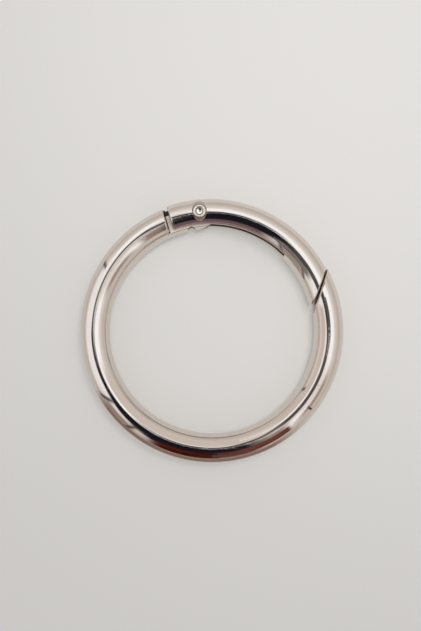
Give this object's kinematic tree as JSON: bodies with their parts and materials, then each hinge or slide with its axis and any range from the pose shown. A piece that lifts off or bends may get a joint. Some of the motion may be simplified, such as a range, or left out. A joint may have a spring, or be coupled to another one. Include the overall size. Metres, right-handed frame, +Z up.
{
  "type": "spring gate ring",
  "caption": "Round-bar metal ring with a hinged gate that opens inward against a coil spring and shuts on a slanted nose cut.",
  "frame": {"origin": "centre of the ring, on the surface that it lies on", "axes": "+Z up through the ring's hole; +Y towards the gate's hinge"},
  "size_m": [0.0488, 0.049, 0.0062],
  "materials": {
    "plated_casting": "polished",
    "plated_rivet": "satin",
    "spring_wire": "satin"
  },
  "bodies": {
    "ring": {"ring_body": "plated_casting"},
    "gate": {"gate": "plated_casting", "pivot_pin": "plated_rivet", "gate_spring": "spring_wire"}
  },
  "joints": [
    {"name": "gate_pivot", "type": "hinge", "parent": "ring", "child": "gate", "pos_m": [-0.00231, 0.02198, 0.0031], "axis": [0, 0, -1], "range_deg": [0, 30], "stiffness_Nm_per_rad": 0.05, "springref_deg": -17.19, "deforming": ["gate_spring"]}
  ]
}
